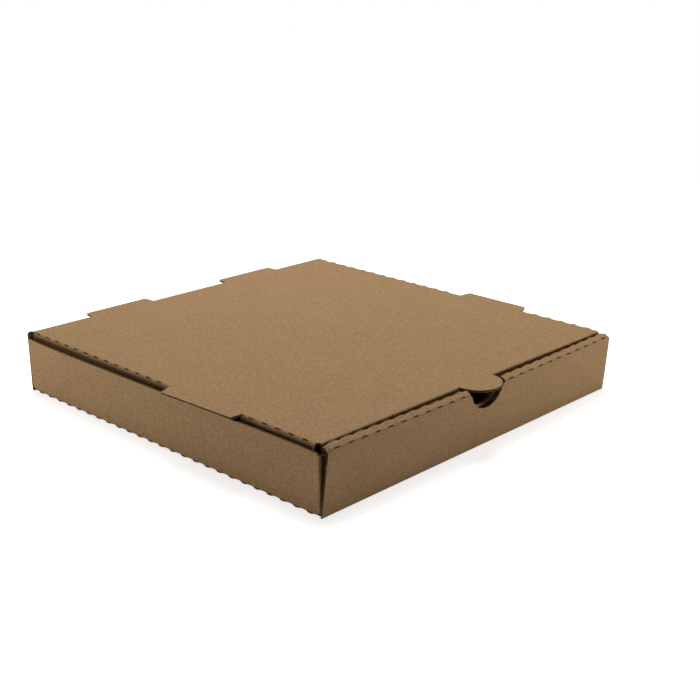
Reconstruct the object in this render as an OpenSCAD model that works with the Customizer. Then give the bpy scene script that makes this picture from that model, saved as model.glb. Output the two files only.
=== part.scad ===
// A pizza box folded from one die-cut blank of corrugated board. The tray has a roll-over double front
// wall that locks into the base, and the lid turns on the scored line along the top of the back wall.
// Each panel is drawn flat, with its outside face at z = 0, and is carried to its place by its folds.

/* [Board] */
// Thickness of the corrugated board
board = 1.5; // [1:0.1:2]
// Inside radius of every fold
fold_r = 0.5; // [0.3:0.1:1]
// Depth to which a fold is crushed, on each face and at its ends
crush = 0.1; // [0.05:0.05:0.2]
// Distance from slit to slit along a slit fold
slit_pitch = 11.75; // [9:0.25:20]
// Length of one slit
slit_l = 5.3; // [3:0.1:7]
// Width of one slit
slit_w = 0.8; // [0.4:0.1:1.2]
// Least unslit length at the ends of a slit fold
slit_margin = 2; // [1:0.5:5]

/* [Tray] */
// Inside width between the side walls, at the base
inside_w = 305; // [280:1:420]
// Inside depth between the outer front wall and the back wall, at the base
inside_d = 301; // [270:1:420]
// Height of the closed box
box_h = 45.7; // [40:0.1:60]
// Outward lean of the side walls, in degrees
side_lean = 2; // [0:0.5:4]
// Outward lean of the front wall, in degrees
front_lean = 2; // [0:0.5:3]
// How far the front wall's ends draw in from its foot to its top
front_taper = 2.5; // [1:0.5:6]
// Length of the corner flaps
corner_l = 45; // [20:1:50]
// How far the corner flaps narrow towards their free ends, on each edge
corner_taper = 4; // [0:0.5:10]
// Gap beside the corner flaps, to the wall that covers them
corner_gap = 0.55; // [0.3:0.05:0.8]
// Unfolded height left at the foot of the corner flaps
corner_lift = 2; // [1:0.5:5]
// How far the corner flaps stop below the roll-over and the side walls' top edge
corner_drop = 1; // [0.5:0.5:8]

/* [Roll-over front] */
// Height from the start of the roll-over up to the top of the lid
roll_drop = 3.7; // [3:0.1:7]
// Bend at the outer crease of the roll-over, in degrees
roll_angle = 62; // [50:1:90]
// Flat width of the strip between the two creases
roll_strip = 3.3; // [3:0.1:6]
// Gap between the inner wall's ends and the side walls
inner_gap = 4; // [1:0.5:6]
// Width of one lock tab
lock_w = 45; // [20:1:60]
// Distance of the lock tabs from the middle of the box
lock_at = 78; // [60:1:90]
// Clearance round a lock tab in its slot
lock_clear = 0.4; // [0.3:0.1:0.8]
// Height of the lock tabs' ends above the table
lock_end = 0.2; // [0.1:0.1:0.6]
// Gap under the inner wall, beside the lock tabs
tuck_gap = 0.3; // [0.2:0.1:1]

/* [Thumb notch] */
// Depth of the notch below the roll-over's outer crease
notch_depth = 13.8; // [8:0.1:17]
// Radius of the notch's rounded shoulders
shoulder_r = 4; // [2:0.5:6]
// Clearance between the thumb tab's radius and the notch's
notch_clear = 0.6; // [0.4:0.1:3]

/* [Lid] */
// Gap between the lid's side flaps and the side walls, at the base
lid_side_gap = 1.5; // [1:0.1:3]
// Gap between the lid's front flap and the inner front wall
lid_front_gap = 0.8; // [0.5:0.1:3]
// Gap between the lid and the top edge of the side walls
lid_lift = 2.4; // [0.6:0.1:4]
// Height of the lid's side flaps above the base
side_flap_lift = 8; // [4:0.5:20]
// Height of the lid's front flap above the base
front_flap_lift = 13; // [8:0.5:20]
// Inward turn of the lid's front flap, in degrees
front_tuck = 4; // [3:0.5:8]
// How far each flap of the lid narrows towards its lower edge, at each end
flap_taper = 8; // [3:0.5:15]
// Gap in the folds at the lid's front corners
lid_corner_gap = 1; // [0.5:0.5:4]
// Depth of the strip of lid along the hinge, which is as wide as the back wall
ear_d = 4; // [3:0.5:6]

/* [Lid tabs] */
// Radius of the thumb tab
thumb_r = 17.6; // [12:0.2:24]
// Reach of the thumb tab past the lid's front flap
thumb_reach = 18.3; // [16:0.1:28]
// Length of a side tab at its root
side_tab_l = 70; // [40:1:80]
// Reach of a side tab past the lid's side flap
side_tab_out = 9; // [6:0.5:12]
// Slant at each end of a side tab
side_tab_slant = 3.5; // [0:0.5:6]
// Distance of the side tabs' middle from the hinge
side_tab_at = 195.5; // [120:0.5:220]
// Length of a rear tab
rear_tab_l = 58; // [30:1:66]
// Reach of a rear tab past the hinge line
rear_tab_out = 9; // [6:0.5:12]
// Distance of the rear tabs' middle from the middle of the box
rear_tab_at = 68; // [50:1:72]
// Corner radius of the rear and lock tabs
tab_r = 2; // [0.5:0.5:4]
// Clearance round a rear tab in its window
tab_clear = 0.4; // [0.3:0.1:0.8]

/* [Hinge] */
// Radius of the bead along the scored hinge line
bead_r = 0.5; // [0.35:0.05:0.6]
// Clearance between the bead and the lid's edge
hinge_clear = 0.2; // [0.15:0.05:0.3]
// Room between the crushed wedges on the two sides of the hinge line
wedge_clear = 0.08; // [0.06:0.01:0.2]

/* [Hidden] */
$fn = 48;
kraft = [0.72, 0.56, 0.38];

// How far folds run into the panels that they join, in degrees, and other pieces in length
fold_lap = 5;
lap = 0.3;

bend_r = board + fold_r;
outer_w = inside_w + 2 * board;
outer_d = inside_d + 2 * board;
base_w = outer_w - 2 * bend_r;
base_d = outer_d - 2 * bend_r;

// Hinge line: the middle of the board at the top of the back wall
hinge_y = outer_d / 2 - board / 2;
hinge_z = box_h - board / 2;
wedge_l = board / 2 + wedge_clear;
window_l = rear_tab_l + 2 * tab_clear;

// Roll-over front wall: lengths run up the wall from its fold, offsets run inwards from that fold's centre
front_l = (box_h - roll_drop - bend_r) / cos(front_lean);
front_half = outer_w / 2;
roll_half = front_half - front_taper;
roll_top = front_l + roll_strip * cos(roll_angle);
inner_half = inside_w / 2 - inner_gap;
inner_far = bend_r + roll_strip * sin(roll_angle);
inner_mid = inner_far - board / 2;
inner_near = inner_far - board;
inner_l = roll_top - run_at(board + tuck_gap, inner_near);
lock_l = (board + tuck_gap - lock_end) / cos(front_lean);
lock_y = depth_at(board / 2, inner_mid);

// Side walls and corner flaps
side_half = outer_d / 2 - board - corner_gap - bend_r;
side_h = box_h - board - lid_lift;
side_l = (side_h - bend_r + fold_r * sin(side_lean)) / cos(side_lean);
corner_h = min(side_l, front_l) - corner_lift - corner_drop;

// Thumb notch: the shoulders' circles touch the notch's circle and the crease
notch_r = thumb_r + notch_clear;
notch_up = notch_r - notch_depth;
notch_half = sqrt(pow(notch_r + shoulder_r, 2) - pow(notch_up + shoulder_r, 2));
shoulder_y = shoulder_r * (notch_up + shoulder_r) / (notch_r + shoulder_r) - shoulder_r;

// Lid: the flat panel ends where its folds start
lid_flat_w = inside_w - 2 * lid_side_gap - 2 * bend_r;
lid_front_y = depth_at(box_h - bend_r, inner_far) + lid_front_gap;
lid_d = hinge_y - lid_front_y - bend_r;
flap_from = ear_d + lid_corner_gap;
flap_to = lid_d - lid_corner_gap;
side_flap_l = box_h - bend_r - board - side_flap_lift;
front_flap_l = (box_h - bend_r - board - front_flap_lift) / cos(front_tuck);
front_flap_half = lid_flat_w / 2 - lid_corner_gap;
thumb_neck = bend_r + thumb_reach - thumb_r;
side_tab_root = [side_tab_at - side_tab_l / 2, side_tab_at + side_tab_l / 2];

// Distance up the front wall at which something set inwards of its fold reaches a height
function run_at(height, inwards) = (height - bend_r - inwards * sin(front_lean)) / cos(front_lean);

// Place, front to back, of that point
function depth_at(height, inwards) =
    inwards * cos(front_lean) - run_at(height, inwards) * sin(front_lean) - base_d / 2;

// Length of board taken up by a fold, along its middle
function fold_length(angle) = (fold_r + board / 2) * angle * PI / 180;

// Middles of the slits along a fold, as many as fit between its ends
function slits(from, to) =
    let (steps = floor((to - from - 2 * slit_margin - slit_l) / slit_pitch))
    [for (i = [0 : steps]) (from + to) / 2 + (i - steps / 2) * slit_pitch];

// Stretches of a line from -half to half that two openings at equal distances leave
function spans_beside(half, at, length) = [
    [-half, -at - length / 2],
    [length / 2 - at, at - length / 2],
    [at + length / 2, half]
];

// Shapes that the panels share

module panel() {
    linear_extrude(board) children();
}

// Carries what lies past a fold along y = 0 to its folded place
module after_fold(angle) {
    translate([0, 0, bend_r]) rotate([angle, 0, 0]) translate([0, 0, -bend_r]) children();
}

module bend(angle, from, to) {
    section = [board - 2 * crush, to - from - 2 * crush];
    translate([0, 0, bend_r])
        rotate([0, 90, 0])
            rotate(-fold_lap)
                rotate_extrude(angle = angle + 2 * fold_lap)
                    translate([fold_r + crush, from + crush]) square(section);
}

// Fold that a knife has cut through in a row of slits, which open as it bends
module slit_bend(angle, from, to) {
    knife = [slit_l, slit_w, board + 2 * lap];
    difference() {
        bend(angle, from, to);
        for (at = slits(from, to)) translate([at, 0, bend_r])
            rotate([angle / 2, 0, 0]) translate([0, 0, -fold_r - board / 2]) cube(knife, center = true);
    }
}

module both_sides() {
    for (side = [0, 1]) mirror([side, 0, 0]) children();
}

module along_x(span) {
    translate([span[0], 0, 0]) rotate([90, 0, 90]) linear_extrude(span[1] - span[0]) children();
}

// Tab that grows from y = 0, with round outer corners
module tongue(length, reach) {
    translate([-length / 2, 0]) square([length, reach - tab_r]);
    translate([tab_r - length / 2, 0]) square([length - 2 * tab_r, reach]);
    for (side = [-1, 1]) translate([side * (length / 2 - tab_r), reach - tab_r]) circle(tab_r);
}

// Panel that narrows from its fold to its free edge
module flap_outline(from, to, length, taper) {
    polygon([[from, 0], [to, 0], [to - taper, length], [from + taper, length]]);
}

// Board crushed to a wedge along the hinge line, which lies at the origin
module hinge_wedge() {
    half = board / 2;
    polygon([[0, 0], [wedge_l, -half], [wedge_l + lap, -half], [wedge_l + lap, half], [wedge_l, half]]);
}

// Tray

module tray() {
    color(kraft) {
        base_panel();
        translate([0, base_d / 2, 0]) back_wall();
        translate([0, -base_d / 2, 0]) rotate(180) front_wall();
        both_sides() translate([base_w / 2, 0, 0]) rotate(-90) side_wall();
    }
}

module base_panel() {
    slot = [lock_w + 2 * lock_clear, board + 2 * lock_clear];
    panel() difference() {
        square([base_w, base_d], center = true);
        for (side = [-1, 1]) translate([side * lock_at, lock_y]) square(slot, center = true);
    }
}

module back_wall() {
    hinge_l = hinge_z - bend_r;
    bend(90, -outer_w / 2, outer_w / 2);
    after_fold(90) {
        panel() difference() {
            translate([-outer_w / 2, 0]) square([outer_w, hinge_l - wedge_l]);
            for (side = [-1, 1]) translate([side * rear_tab_at, hinge_l])
                mirror([0, 1]) tongue(window_l, rear_tab_out + tab_clear);
        }
        for (span = spans_beside(outer_w / 2, rear_tab_at, window_l))
            along_x(span) translate([hinge_l, board / 2]) {
                mirror([1, 0]) hinge_wedge();
                circle(bead_r);
            }
    }
}

module side_wall() {
    slit_bend(90 - side_lean, -side_half, side_half);
    after_fold(90 - side_lean) {
        panel() translate([-side_half, 0]) square([2 * side_half, side_l]);
        both_sides() translate([side_half, corner_lift + corner_h / 2, 0]) rotate(-90) corner_flap();
    }
}

module corner_flap() {
    bend(90, -corner_h / 2, corner_h / 2);
    after_fold(90) panel() flap_outline(-corner_h / 2, corner_h / 2, corner_l, corner_taper);
}

module front_wall() {
    bend(90 - front_lean, -front_half, front_half);
    after_fold(90 - front_lean) {
        panel() difference() {
            flap_outline(-front_half, front_half, front_l, front_taper);
            translate([0, front_l]) thumb_notch();
        }
        translate([0, front_l, 0]) roll_over();
    }
}

module roll_over() {
    both_sides() slit_bend(roll_angle, notch_half, roll_half);
    after_fold(roll_angle) {
        both_sides() panel()
            polygon([[notch_half, 0], [roll_half, 0], [inner_half, roll_strip], [notch_half, roll_strip]]);
        translate([0, roll_strip, 0]) {
            both_sides() slit_bend(180 - roll_angle, notch_half, inner_half);
            after_fold(180 - roll_angle) inner_wall();
        }
    }
}

module inner_wall() {
    panel() difference() {
        union() {
            translate([-inner_half, 0]) square([2 * inner_half, inner_l]);
            for (side = [-1, 1]) translate([side * lock_at, inner_l - tab_r]) tongue(lock_w, lock_l + tab_r);
        }
        mirror([0, 1]) thumb_notch();
    }
}

// Half-round cut below a crease at y = 0, opening into it over round shoulders
module thumb_notch() {
    translate([0, notch_up]) circle(notch_r);
    difference() {
        translate([-notch_half, shoulder_y]) square([2 * notch_half, board - shoulder_y]);
        for (side = [-1, 1]) translate([side * notch_half, -shoulder_r]) circle(shoulder_r);
    }
}

// Lid, drawn from the hinge line forwards and turned upside down into the closed place

module lid() {
    color(kraft) translate([0, hinge_y, box_h]) rotate([180, 0, 0]) {
        lid_panel();
        for (span = spans_beside(outer_w / 2, rear_tab_at, rear_tab_l))
            along_x(span) translate([0, board / 2]) difference() {
                hinge_wedge();
                circle(bead_r + hinge_clear);
            }
        translate([0, lid_d, 0]) front_flap();
        both_sides() at_side_fold() side_flap();
    }
}

// Moves to a side fold of the lid, where x is the distance from the hinge
module at_side_fold() {
    translate([-lid_flat_w / 2, 0, 0]) rotate(90) children();
}

module lid_panel() {
    panel() {
        translate([-lid_flat_w / 2, wedge_l]) square([lid_flat_w, lid_d - wedge_l]);
        translate([-outer_w / 2, wedge_l]) square([outer_w, ear_d - wedge_l]);
        translate([0, lid_d]) thumb_tab();
        both_sides() {
            at_side_fold() side_tab();
            translate([rear_tab_at, wedge_l]) mirror([0, 1]) tongue(rear_tab_l, rear_tab_out + wedge_l);
        }
    }
}

module thumb_tab() {
    translate([-thumb_r, -lap]) square([2 * thumb_r, thumb_neck + lap]);
    translate([0, thumb_neck]) circle(thumb_r);
}

module side_tab() {
    flap_outline(side_tab_root[0], side_tab_root[1], bend_r + side_tab_out, side_tab_slant);
    translate([side_tab_root[0], -lap]) square([side_tab_l, 2 * lap]);
}

module front_flap() {
    angle = 90 + front_tuck;
    both_sides() bend(angle, thumb_r, front_flap_half);
    after_fold(angle) panel() difference() {
        flap_outline(-front_flap_half, front_flap_half, front_flap_l, flap_taper);
        translate([0, -fold_length(angle)]) thumb_tab();
    }
}

module side_flap() {
    slit_bend(90, flap_from, side_tab_root[0]);
    slit_bend(90, side_tab_root[1], flap_to);
    after_fold(90) panel() difference() {
        flap_outline(flap_from, flap_to, side_flap_l, flap_taper);
        translate([0, -fold_length(90)]) side_tab();
    }
}

tray();
lid();
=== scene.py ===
import math

import bmesh
import bpy
from mathutils import Matrix, Vector
from mathutils.geometry import delaunay_2d_cdt


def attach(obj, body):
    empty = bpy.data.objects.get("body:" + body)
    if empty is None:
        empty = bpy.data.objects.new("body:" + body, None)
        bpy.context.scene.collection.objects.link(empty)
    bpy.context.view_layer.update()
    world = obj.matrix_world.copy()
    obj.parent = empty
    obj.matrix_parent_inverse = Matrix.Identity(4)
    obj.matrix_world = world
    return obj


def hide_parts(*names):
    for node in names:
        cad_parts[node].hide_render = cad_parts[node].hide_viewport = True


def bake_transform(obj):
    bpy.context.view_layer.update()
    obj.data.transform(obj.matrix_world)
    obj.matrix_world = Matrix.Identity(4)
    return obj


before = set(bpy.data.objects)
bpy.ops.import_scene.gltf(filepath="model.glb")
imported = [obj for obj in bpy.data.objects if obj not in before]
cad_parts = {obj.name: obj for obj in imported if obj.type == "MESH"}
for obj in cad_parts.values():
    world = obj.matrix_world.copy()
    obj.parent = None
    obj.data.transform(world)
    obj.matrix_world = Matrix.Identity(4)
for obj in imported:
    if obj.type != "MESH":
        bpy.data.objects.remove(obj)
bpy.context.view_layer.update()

# Corrugated board
# Every panel is single-wall E-flute board: two brown kraft liners glued to a waved paper between them.
# It is die-cut flat and then folded along creases, so a panel is drawn flat and carried by its folds.

MM = 0.001
BOARD = 1.5
FOLD_R = 0.5
BEND_R = BOARD + FOLD_R
LINER = 0.24
EDGE_RECESS = 1.3
SUPPORT = 0.9
GRID_STEP = 14.0
SLIVER = 0.001
SLIT_PITCH = 11.75
SLIT_L = 5.3
SLIT_MARGIN = 2.0
FOLD_SINK = 0.3
WALL_SLIT = (1.7, 0.27)
FOLD_RECESS = 0.7
FOLD_STEPS = 3
STATION_STEP = 5.0
END_STEP = 1.5
ARC_STEP = 5.0
SLIT_PARTS = (-0.5, -0.4, -0.2, 0.0, 0.2, 0.4, 0.5)
SLIT_GAP = 0.05
SLIT_ROUND = 0.3
TOUCH = 1e-3
SAME_POINT = 1e-5
NO_LENGTH = 1e-6


def new_sheet():
    return {"outer": [], "inner": [], "flute": [], "crease": [], "faces": [], "kinds": [], "index": {}}


def sheet_point(sheet, outer, inner, flute, crease):
    middle = (outer + inner) / 2
    key = (round(middle.x, 2), round(middle.y, 2), round(middle.z, 2))
    if key not in sheet["index"]:
        sheet["index"][key] = len(sheet["outer"])
        sheet["outer"].append(outer)
        sheet["inner"].append(inner)
        sheet["flute"].append(flute)
        sheet["crease"].append(crease)
    number = sheet["index"][key]
    sheet["crease"][number] = max(sheet["crease"][number], crease)
    return number


def past_fold(angle):
    turn = Matrix.Rotation(math.radians(angle), 4, "X")
    return Matrix.Translation((0, 0, BEND_R)) @ turn @ Matrix.Translation((0, 0, -BEND_R))


def fold_length(angle):
    return (FOLD_R + BOARD / 2) * math.radians(angle)


def slits(start, end):
    steps = math.floor((end - start - 2 * SLIT_MARGIN - SLIT_L) / SLIT_PITCH)
    return [(start + end) / 2 + (i - steps / 2) * SLIT_PITCH for i in range(steps + 1)]


def stations(start, end, cuts=()):
    marks = [start]
    for cut in cuts:
        marks.extend(cut + SLIT_L * part for part in SLIT_PARTS)
    marks.append(end)
    places = [start]
    for low, high in zip(marks, marks[1:]):
        inside = any(abs((low + high) / 2 - cut) < SLIT_L / 2 for cut in cuts)
        fine = END_STEP if cuts and (low == start or high == end) else STATION_STEP
        count = 1 if inside else max(2, round((high - low) / fine))
        places.extend(low + (high - low) * i / count for i in range(1, count + 1))
    return [round(place, 4) for place in places]


def arc(centre, radius, start, end, step=ARC_STEP):
    count = max(2, math.ceil(abs(end - start) / step))
    points = []
    for i in range(count + 1):
        angle = math.radians(start + (end - start) * i / count)
        points.append((centre[0] + radius * math.cos(angle), centre[1] + radius * math.sin(angle)))
    return points


def inside_loops(x, y, loops):
    odd = False
    for loop in loops:
        before = loop[-1]
        for point in loop:
            if (point[1] > y) != (before[1] > y):
                crossing = point[0] + (y - point[1]) * (before[0] - point[0]) / (before[1] - point[1])
                if x < crossing:
                    odd = not odd
            before = point
    return odd


def split_long(loop, step):
    points = []
    before = loop[-1]
    for point in loop:
        length = math.dist(before, point)
        count = max(1, math.ceil(length / step))
        for i in range(1, count + 1):
            part = i / count
            u = before[0] + (point[0] - before[0]) * part
            v = before[1] + (point[1] - before[1]) * part
            points.append((u, v))
        before = point
    return points


def no_darkening(u, v):
    return 0.0


def add_panel(sheet, place, loops, flute, settle, supports=(), darkening=no_darkening):
    loops = [split_long(loop, GRID_STEP) for loop in loops]
    points = []
    edges = []
    for loop in loops:
        first = len(points)
        points.extend(loop)
        edges.extend((first + i, first + (i + 1) % len(loop)) for i in range(len(loop)))
    low_u = min(point[0] for point in loops[0])
    high_u = max(point[0] for point in loops[0])
    low_v = min(point[1] for point in loops[0])
    high_v = max(point[1] for point in loops[0])
    inner = list(supports)
    across = max(2, math.ceil((high_u - low_u) / GRID_STEP))
    along = max(2, math.ceil((high_v - low_v) / GRID_STEP))
    for i in range(1, across):
        for j in range(1, along):
            inner.append((low_u + (high_u - low_u) * i / across, low_v + (high_v - low_v) * j / along))
    for point in inner:
        near = min(math.dist(point, other) for other in loops[0])
        if near > 0.5 * SUPPORT and inside_loops(point[0], point[1], loops):
            points.append(point)
    cut = delaunay_2d_cdt([Vector(point) for point in points], edges, [], 0, SAME_POINT, False)
    corners = cut[0]
    numbers = {}
    for face in cut[2]:
        centre = sum((corners[i] for i in face), Vector((0, 0))) / len(face)
        first, second, third = (corners[i] for i in face)
        area = abs((second - first).cross(third - first)) / 2
        if area < SLIVER or not inside_loops(centre.x, centre.y, loops):
            continue
        for i in face:
            if i not in numbers:
                u, v = corners[i]
                outer = settle(place @ Vector((u, v, 0)))
                inner_side = settle(place @ Vector((u, v, BOARD)))
                numbers[i] = sheet_point(sheet, outer, inner_side, flute(u, v), darkening(u, v))
        sheet["faces"].append(tuple(numbers[i] for i in face))
        sheet["kinds"].append("panel")


def slit_opening(u, cuts):
    for cut in cuts:
        if abs(u - cut) <= SLIT_L / 2 + TOUCH:
            return max(0.0, math.cos(math.pi * (u - cut) / SLIT_L)) ** SLIT_ROUND
    return None


# A fold bends round its radius, or comes nearer to a corner where it is sharp. Where a knife has slit it,
# the board beyond the panel stays straight as a short tongue, and the next panel's edge drops below the
# tongue's cut end.

def add_fold(sheet, place, angle, ends, flute, settle, cuts=(), slit=(0.0, 0.0), darkening=1.0, shade=0.0,
             shade_from=0.0, sharp=0.0, sink=FOLD_SINK, slit_at=0.5):
    columns = stations(ends[0], ends[1], cuts)
    length = fold_length(angle)
    reach = BEND_R * math.tan(math.radians(angle / 2))
    after = place @ past_fold(angle)
    tongue, drop = slit
    rows = []
    for u in columns:
        opening = slit_opening(u, cuts)
        near = slit_at - SLIT_GAP
        far = slit_at + SLIT_GAP
        if opening is not None:
            far += drop * opening
        parts = [near * i / FOLD_STEPS for i in range(FOLD_STEPS + 1)]
        parts += [far + (1 - far) * i / FOLD_STEPS for i in range(FOLD_STEPS + 1)]
        row = []
        for number, part in enumerate(parts):
            sunk = 0.0
            if cuts and opening is None:
                sunk = sink * math.sin(math.pi * part)
            turned = place @ past_fold(angle * part)
            sides = []
            for depth in (sunk, BOARD + 0.5 * sunk):
                point = turned @ Vector((u, 0, depth))
                if depth < BOARD and part < 0.5:
                    point = point.lerp(place @ Vector((u, 2 * part * reach, depth)), sharp)
                elif depth < BOARD:
                    point = point.lerp(after @ Vector((u, (2 * part - 2) * reach, depth)), sharp)
                if opening is not None and number <= FOLD_STEPS:
                    straight = place @ Vector((u, tongue * number / FOLD_STEPS, depth))
                    point = point.lerp(straight, opening)
                sides.append(settle(point))
            # Crease value for the liner's colour: a slight darkening that peaks at the fold's middle, plus
            # painted shade that grows from shade_from to the fold's far end, where the board turns down
            # into a gap.
            shaded = shade * max(0.0, part - shade_from) / (1 - shade_from)
            crease = darkening * math.sin(math.pi * part) + shaded
            row.append(sheet_point(sheet, sides[0], sides[1], flute(u, length * part), crease))
        rows.append(row)
    for i in range(len(columns) - 1):
        middle = (columns[i] + columns[i + 1]) / 2
        cut_here = any(abs(middle - cut) < SLIT_L / 2 for cut in cuts)
        for j in range(2 * FOLD_STEPS + 1):
            if cut_here and j == FOLD_STEPS:
                continue
            corners = (rows[i][j], rows[i + 1][j], rows[i + 1][j + 1], rows[i][j + 1])
            sheet["faces"].append(corners)
            sheet["kinds"].append("fold")


def cut_edges(sheet):
    uses = {}
    for number, face in enumerate(sheet["faces"]):
        for i, a in enumerate(face):
            b = face[(i + 1) % len(face)]
            uses.setdefault(frozenset((a, b)), []).append((number, a, b))
    return [found[0] for found in uses.values() if len(found) == 1]


def middle_of(sheet, number):
    return (sheet["outer"][number] + sheet["inner"][number]) / 2


def inward_of(sheet, number, a, b):
    face = sheet["faces"][number]
    centre = sum((middle_of(sheet, i) for i in face), Vector()) / len(face)
    start = middle_of(sheet, a)
    run = (middle_of(sheet, b) - start).normalized()
    through = sheet["inner"][a] - sheet["outer"][a] + sheet["inner"][b] - sheet["outer"][b]
    across = run.cross(through).normalized()
    return across if across.dot(centre - start) > 0 else -across


def build_board(name, sheet, materials, joined):
    mesh_data = bmesh.new()
    flute_layer = mesh_data.verts.layers.float.new("flute")
    crease_layer = mesh_data.verts.layers.float.new("crease")

    def vertex(position, number):
        made = mesh_data.verts.new(position * MM)
        made[flute_layer] = sheet["flute"][number]
        made[crease_layer] = sheet["crease"][number]
        return made

    count = len(sheet["outer"])
    outer = [vertex(sheet["outer"][i], i) for i in range(count)]
    inner = [vertex(sheet["inner"][i], i) for i in range(count)]
    for face in sheet["faces"]:
        mesh_data.faces.new([outer[i] for i in face])
        mesh_data.faces.new([inner[i] for i in reversed(face)])
    edges = cut_edges(sheet)
    inwards = {}
    depths = {}
    for number, a, b in edges:
        direction = inward_of(sheet, number, a, b)
        deep = EDGE_RECESS if sheet["kinds"][number] == "panel" else FOLD_RECESS
        for corner in (a, b):
            inwards[corner] = inwards.get(corner, Vector()) + direction
            depths[corner] = min(deep, depths.get(corner, deep))
    rings = {}
    for corner, direction in inwards.items():
        direction = direction.normalized() if direction.length > NO_LENGTH else direction
        top = sheet["outer"][corner]
        bottom = sheet["inner"][corner]
        through = (bottom - top) * (LINER / BOARD)
        recess = direction * depths[corner]
        rings[corner] = [
            outer[corner],
            vertex(top + through, corner),
            vertex(top + through + recess, corner),
            vertex(bottom - through + recess, corner),
            vertex(bottom - through, corner),
            inner[corner],
        ]
    sharp = []
    for number, a, b in edges:
        middle = (middle_of(sheet, a) + middle_of(sheet, b)) / 2
        if joined(middle):
            mesh_data.faces.new((outer[a], inner[a], inner[b], outer[b]))
            sharp.append((outer[a], outer[b]))
            sharp.append((inner[a], inner[b]))
            continue
        # The recessed core of the cut edge takes the second, dark fluting material: painted shade of the
        # hollow flutes.
        last = len(rings[a]) - 1
        for i in range(last):
            corners = (rings[a][i], rings[a][i + 1], rings[b][i + 1], rings[b][i])
            face = mesh_data.faces.new(corners)
            face.material_index = 0 if i in (0, last - 1) else 1
        for i in range(last + 1):
            sharp.append((rings[a][i], rings[b][i]))
    for face in mesh_data.faces:
        face.smooth = True
    for a, b in sharp:
        edge = mesh_data.edges.get((a, b))
        if edge:
            edge.smooth = False
    loose = [point for point in mesh_data.verts if not point.link_faces]
    bmesh.ops.delete(mesh_data, geom=loose, context="VERTS")
    bmesh.ops.recalc_face_normals(mesh_data, faces=mesh_data.faces)
    mesh = bpy.data.meshes.new(name)
    mesh_data.to_mesh(mesh)
    mesh_data.free()
    for material in materials:
        mesh.materials.append(material)
    board = bpy.data.objects.new(name, mesh)
    bpy.context.scene.collection.objects.link(board)
    return board


# Kraft paper: brown wood-fibre paper with fine pale and dark fibres, soft clouds and a faint washboard
# where the flutes press through the liner.

def node(tree, kind, x, y, values=None, **settings):
    made = tree.nodes.new(kind)
    made.location = (x, y)
    for key, value in settings.items():
        setattr(made, key, value)
    for key, value in (values or {}).items():
        made.inputs[key].default_value = value
    return made


def maths(tree, operation, x, y, *terms):
    made = node(tree, "ShaderNodeMath", x, y, operation=operation)
    for i, term in enumerate(terms):
        if isinstance(term, (int, float)):
            made.inputs[i].default_value = term
        else:
            tree.links.new(term, made.inputs[i])
    return made.outputs[0]


def colour_mix(tree, x, y, factor, first, second):
    made = node(tree, "ShaderNodeMix", x, y, data_type="RGBA")
    for label, term in (("Factor", factor), ("A", first), ("B", second)):
        if isinstance(term, tuple):
            made.inputs[label].default_value = term
        else:
            tree.links.new(term, made.inputs[label])
    return made.outputs["Result"]


def noise_part(group, vector, amount, y, noise, low, high):
    speckle = node(group, "ShaderNodeTexNoise", -500, y, noise)
    group.links.new(vector, speckle.inputs["Vector"])
    mask = node(group, "ShaderNodeMapRange", -250, y, {"From Min": low, "From Max": high})
    group.links.new(speckle.outputs["Fac"], mask.inputs["Value"])
    return speckle.outputs["Fac"], maths(group, "MULTIPLY", 0, y, mask.outputs["Result"], amount)


def kraft_fibre_group():
    group = bpy.data.node_groups.new("kraft_fibre", "ShaderNodeTree")
    face = group.interface
    for label, kind, value in (
        ("Paper", "NodeSocketColor", (0.36, 0.23, 0.12, 1)),
        ("Dark fibre", "NodeSocketColor", (0.2, 0.12, 0.06, 1)),
        ("Pale fibre", "NodeSocketColor", (0.48, 0.33, 0.19, 1)),
        ("Fibre amount", "NodeSocketFloat", 0.3),
        ("Cloud amount", "NodeSocketFloat", 0.2),
    ):
        made = face.new_socket(label, in_out="INPUT", socket_type=kind)
        made.default_value = value
    face.new_socket("Colour", in_out="OUTPUT", socket_type="NodeSocketColor")
    face.new_socket("Height", in_out="OUTPUT", socket_type="NodeSocketFloat")
    start = node(group, "NodeGroupInput", -900, 0)
    end = node(group, "NodeGroupOutput", 900, 0)
    place = node(group, "ShaderNodeTexCoord", -900, -300).outputs["Object"]
    stretch = node(group, "ShaderNodeMapping", -700, -300, {"Scale": (1.0, 0.35, 1.0)})
    group.links.new(place, stretch.inputs["Vector"])
    along = stretch.outputs["Vector"]
    fibres = start.outputs["Fibre amount"]
    clouds = start.outputs["Cloud amount"]
    dark = start.outputs["Dark fibre"]
    fine_noise = {"Scale": 1100.0, "Detail": 4.0}
    fleck_noise = {"Scale": 500.0, "Detail": 5.0, "Roughness": 0.75}
    cloud_noise = {"Scale": 45.0, "Detail": 3.0}
    fine, pale_part = noise_part(group, along, fibres, 200, fine_noise, 0.46, 0.68)
    fleck, dark_part = noise_part(group, place, fibres, -50, fleck_noise, 0.48, 0.66)
    cloud_part = noise_part(group, place, clouds, -300, cloud_noise, 0.35, 0.65)[1]
    clouded = colour_mix(group, 220, -200, cloud_part, start.outputs["Paper"], dark)
    paled = colour_mix(group, 440, 100, pale_part, clouded, start.outputs["Pale fibre"])
    flecked = colour_mix(group, 660, 0, dark_part, paled, dark)
    group.links.new(flecked, end.inputs["Colour"])
    group.links.new(maths(group, "ADD", 440, -350, fine, fleck), end.inputs["Height"])
    return group


FLUTE_PITCH = 3.3
RELIEF = 0.00008
WASHBOARD = 0.35
# A near-black brown that the crease value mixes into the liner: painted shade in the gaps beside folds and
# flaps, and a slight darkening along every fold.
CREASE_TONE = 0.18
DARKENING_AND_SHADE = (0.03, 0.013, 0.003, 1)
kraft_fibre = kraft_fibre_group()


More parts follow.
